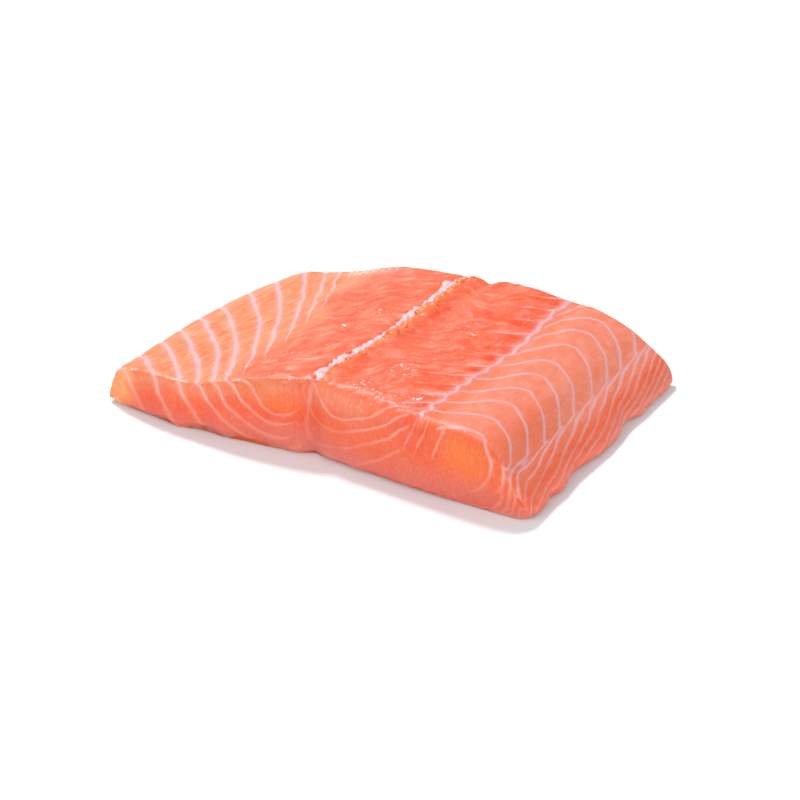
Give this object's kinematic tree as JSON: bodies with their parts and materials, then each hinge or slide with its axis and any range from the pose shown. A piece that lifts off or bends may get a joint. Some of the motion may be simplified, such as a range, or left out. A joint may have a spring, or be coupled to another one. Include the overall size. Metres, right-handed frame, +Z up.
{
  "type": "raw salmon fillet",
  "caption": "Thick centre-cut portion of raw salmon side, flesh side up, thin at the belly edge and rounded along the back, with pale fat lines",
  "frame": {"origin": "middle of the footprint's bounding box, on the surface that the fillet rests on", "axes": "+X across the fish from the thin belly edge to the rounded back, +Y along the fish from the thick front cut to the tail side, +Z up out of the flesh side"},
  "size_m": [0.1704, 0.1162, 0.0301],
  "materials": {
    "flesh": "moist, soft gloss"
  },
  "bodies": {
    "root": {"fillet": "flesh"}
  },
  "joints": []
}
